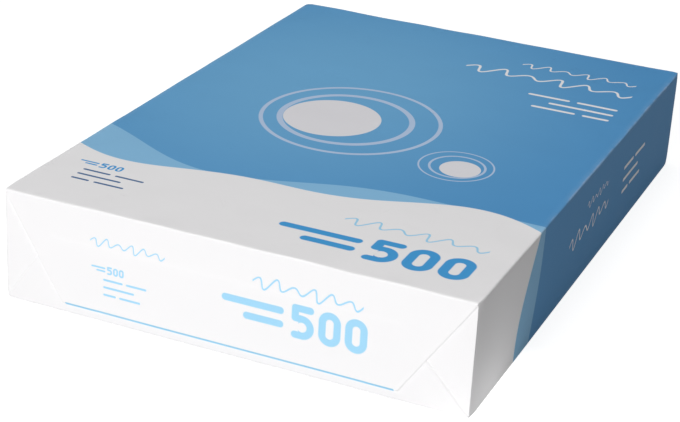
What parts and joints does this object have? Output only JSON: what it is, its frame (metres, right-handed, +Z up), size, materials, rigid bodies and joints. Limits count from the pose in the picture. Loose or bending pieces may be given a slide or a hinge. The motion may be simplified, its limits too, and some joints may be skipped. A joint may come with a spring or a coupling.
{
  "type": "ream of paper",
  "caption": "Sealed ream of A4 copy paper: a flat block in a printed paper wrapper with envelope-folded ends.",
  "frame": {"origin": "middle of the underside, on the surface that the ream rests on", "axes": "+Z up through the sheets, +Y along the sheets' 297 mm side, away from the end with the white field; +X along the 210 mm side"},
  "size_m": [0.2108, 0.2988, 0.0504],
  "materials": {
    "wrapper": "printed wrapper paper with a thin satin film"
  },
  "bodies": {
    "root": {"wrapped_ream": "wrapper"}
  },
  "joints": []
}
